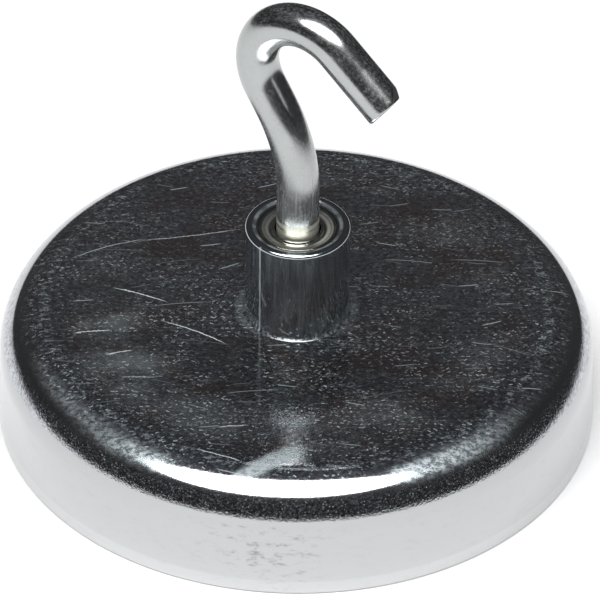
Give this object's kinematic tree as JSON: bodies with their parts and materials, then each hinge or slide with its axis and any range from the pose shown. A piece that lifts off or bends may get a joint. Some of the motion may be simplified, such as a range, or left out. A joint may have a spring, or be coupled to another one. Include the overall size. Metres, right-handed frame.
{
  "type": "pot magnet with swivel hook",
  "caption": "Round plated steel pot magnet with a turned boss in the middle of its top and an open wire hook that swivels in the boss.",
  "frame": {"origin": "middle of the pot's rim, on the surface that the magnet clings to", "axes": "+Z along the pot's axis, from the magnetic face towards the hook; +X towards the hook's tip at rest"},
  "size_m": [0.08, 0.08, 0.0661],
  "materials": {
    "pot_plating": "bright nickel plating with fine rolling streaks",
    "boss_plating": "bright nickel plating over turned steel",
    "hook_plating": "bright nickel plating over drawn wire",
    "bush_steel": "turned, thinly plated",
    "washer_steel": "stamped, plain",
    "ferrite": "ground sintered ferrite",
    "resin": "cast epoxy, satin"
  },
  "bodies": {
    "base": {"pot": "pot_plating", "ferrite_magnet": "ferrite", "bond_layer": "resin", "potting_ring": "resin", "centre_fill": "resin", "boss": "boss_plating", "swivel_bush": "bush_steel"},
    "hook": {"hook": "hook_plating", "thrust_washer": "washer_steel"}
  },
  "joints": [
    {"name": "hook_swivel", "type": "hinge", "parent": "base", "child": "hook", "pos_m": [0, 0, 0.0264], "axis": [0, 0, 1], "continuous": true}
  ]
}
